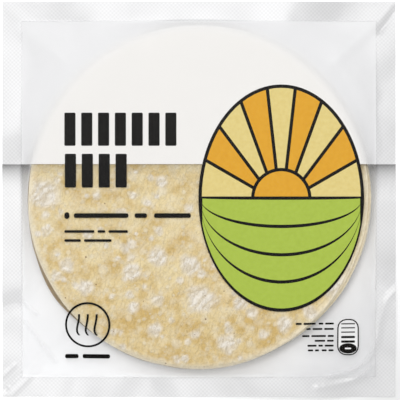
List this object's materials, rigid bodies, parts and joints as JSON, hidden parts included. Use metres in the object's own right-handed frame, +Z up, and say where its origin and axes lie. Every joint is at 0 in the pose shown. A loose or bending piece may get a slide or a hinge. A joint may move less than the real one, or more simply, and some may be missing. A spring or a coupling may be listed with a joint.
{
  "type": "bagged corn tortilla stack",
  "caption": "Flat stack of round corn tortillas in a clear square bag with a wide knurled weld on all four sides and a printed face.",
  "frame": {"origin": "on the floor, under the middle of the bag's outline", "axes": "+Z up through the stack, +Y towards the top of the print, +X to the right of the print"},
  "size_m": [0.1746, 0.1756, 0.0125],
  "materials": {
    "film": "glossy film, clear below and printed white above",
    "tortilla": "dull baked corn dough with pale blisters",
    "black_ink": "printed under the glossy film",
    "green_ink": "printed under the glossy film",
    "orange_ink": "printed under the glossy film",
    "yellow_ink": "printed under the glossy film"
  },
  "bodies": {
    "root": {"sealed_bag": "film"}
  },
  "joints": []
}
